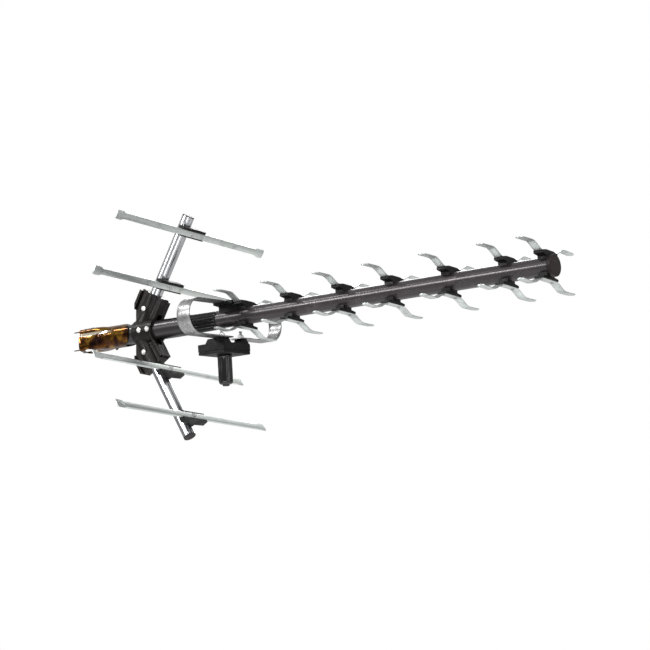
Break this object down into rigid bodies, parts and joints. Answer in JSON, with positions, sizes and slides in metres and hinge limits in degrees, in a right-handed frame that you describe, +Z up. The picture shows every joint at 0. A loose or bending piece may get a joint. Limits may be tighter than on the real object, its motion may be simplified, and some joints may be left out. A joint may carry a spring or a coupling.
{
  "type": "uhf yagi antenna",
  "caption": "UHF yagi television antenna: two-part round boom, V reflector on two arms, folded strip dipole with junction box, paired wing directors and a rear mast clamp.",
  "frame": {"origin": "on the axis of the mast held by the rear clamp, at the height of the boom's axis", "axes": "+X along the boom towards the directors, +Y to the left seen from behind, +Z up along the mast"},
  "size_m": [0.7265, 0.294, 0.2968],
  "materials": {
    "boom_paint": "satin black-brown paint on aluminium tube",
    "coupler_plastic": "glossy ribbed moulding",
    "black_plastic": "moulded, slightly rough",
    "polished_tube": "polished tube",
    "element_strip": "rolled strip, pale grey-green",
    "dipole_strip": "brushed and mottled strip",
    "screw_steel": "bright zinc plate",
    "rivet_metal": "dull rivet",
    "gold_zinc": "yellow chromated zinc plate",
    "boot_rubber": "shiny fluted rubber",
    "gasket_rubber": "soft",
    "circuit_board": "glass-fibre board",
    "ferrite": "fired ferrite"
  },
  "bodies": {
    "clamp": {"clamp_near_shell": "gold_zinc", "clamp_bolt": "gold_zinc"},
    "jaw": {"clamp_far_shell": "gold_zinc"},
    "wing_nut": {"wing_nut": "gold_zinc"},
    "antenna": {"arm_plugs": "black_plastic", "balun_board": "circuit_board", "balun_core": "ferrite", "boom_coupler": "coupler_plastic", "box_base": "black_plastic", "box_gasket": "gasket_rubber", "box_lid": "black_plastic", "bracket_far_half": "black_plastic", "bracket_near_half": "black_plastic", "bracket_nuts": "screw_steel", "bracket_screws": "screw_steel", "dipole_clip": "black_plastic", "dipole_loop": "dipole_strip", "dipole_rivet": "rivet_metal", "director_clips_1": "black_plastic", "director_clips_2": "black_plastic", "director_clips_3": "black_plastic", "director_clips_4": "black_plastic", "director_clips_5": "black_plastic", "director_clips_6": "black_plastic", "director_clips_7": "black_plastic", "director_lower_1": "element_strip", "director_lower_2": "element_strip", "director_lower_3": "element_strip", "director_lower_4": "element_strip", "director_lower_5": "element_strip", "director_lower_6": "element_strip", "director_lower_7": "element_strip", "director_rivets": "rivet_metal", "director_upper_1": "element_strip", "director_upper_2": "element_strip", "director_upper_3": "element_strip", "director_upper_4": "element_strip", "director_upper_5": "element_strip", "director_upper_6": "element_strip", "director_upper_7": "element_strip", "f_connector": "screw_steel", "front_boom": "boom_paint", "front_cap": "black_plastic", "lower_arm": "polished_tube", "rear_boom": "boom_paint", "reflector_clip_lower_inner": "black_plastic", "reflector_clip_lower_outer": "black_plastic", "reflector_clip_upper_inner": "black_plastic", "reflector_clip_upper_outer": "black_plastic", "reflector_lower_inner": "element_strip", "reflector_lower_outer": "element_strip", "reflector_rivets": "rivet_metal", "reflector_upper_inner": "element_strip", "reflector_upper_outer": "element_strip", "terminal_nuts": "screw_steel", "terminal_studs": "screw_steel", "upper_arm": "polished_tube"},
    "boot": {"connector_boot": "boot_rubber"}
  },
  "joints": [
    {"name": "jaw_slide", "type": "slide", "parent": "clamp", "child": "jaw", "axis": [0, 1, 0], "range_m": [0, 0.008]},
    {"name": "wing_nut_spin", "type": "hinge", "parent": "jaw", "child": "wing_nut", "pos_m": [0.01925, 0.02, 0], "axis": [0, 1, 0], "continuous": true},
    {"name": "boom_turn", "type": "hinge", "parent": "clamp", "child": "antenna", "pos_m": [0.04, 0, 0], "axis": [1, 0, 0], "range_deg": [-90, 90]},
    {"name": "boot_slide", "type": "slide", "parent": "antenna", "child": "boot", "axis": [0, 0.0698, -0.9976], "range_m": [0, 0.025]}
  ]
}
